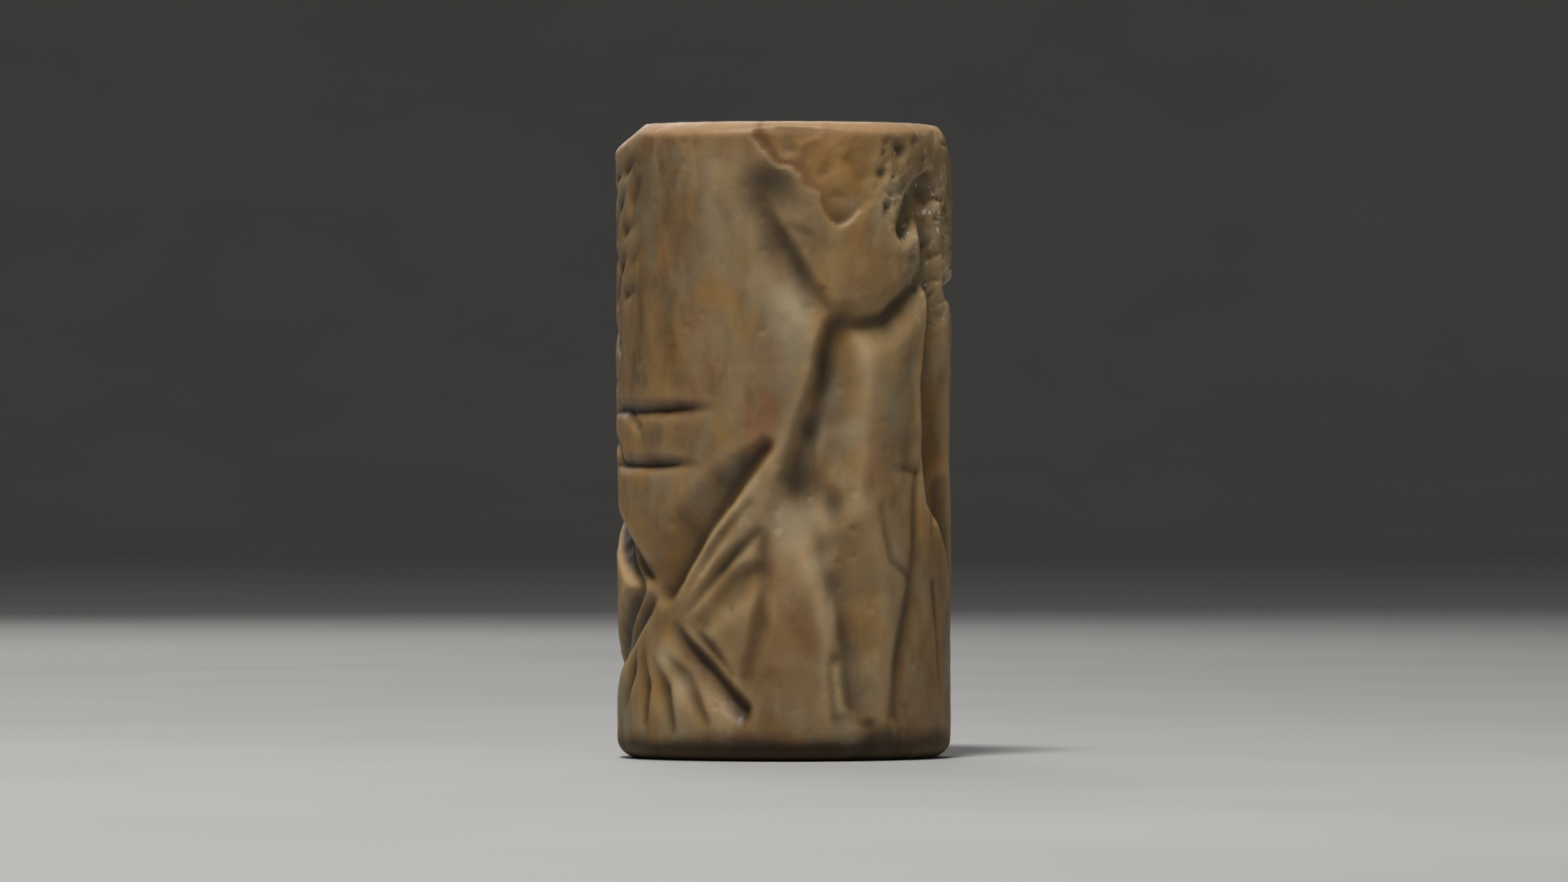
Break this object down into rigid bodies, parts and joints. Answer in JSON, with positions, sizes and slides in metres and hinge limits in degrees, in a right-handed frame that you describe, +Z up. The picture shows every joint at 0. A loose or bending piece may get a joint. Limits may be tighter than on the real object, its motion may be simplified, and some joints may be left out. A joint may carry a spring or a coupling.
{
  "type": "cylinder seal",
  "caption": "Pierced stone cylinder carved all round in sunk relief with figures and beasts, rolled over clay to leave its design.",
  "frame": {"origin": "middle of the lower end, on the surface that the seal stands on", "axes": "+Z up along the bore; -Y is the front, the side with the blank panel at its left and a standing figure at its right"},
  "size_m": [0.018, 0.018, 0.0334],
  "materials": {
    "stone": "brown and grey banded stone, worn to a dull polish"
  },
  "bodies": {
    "root": {"cylinder_seal": "stone"}
  },
  "joints": []
}
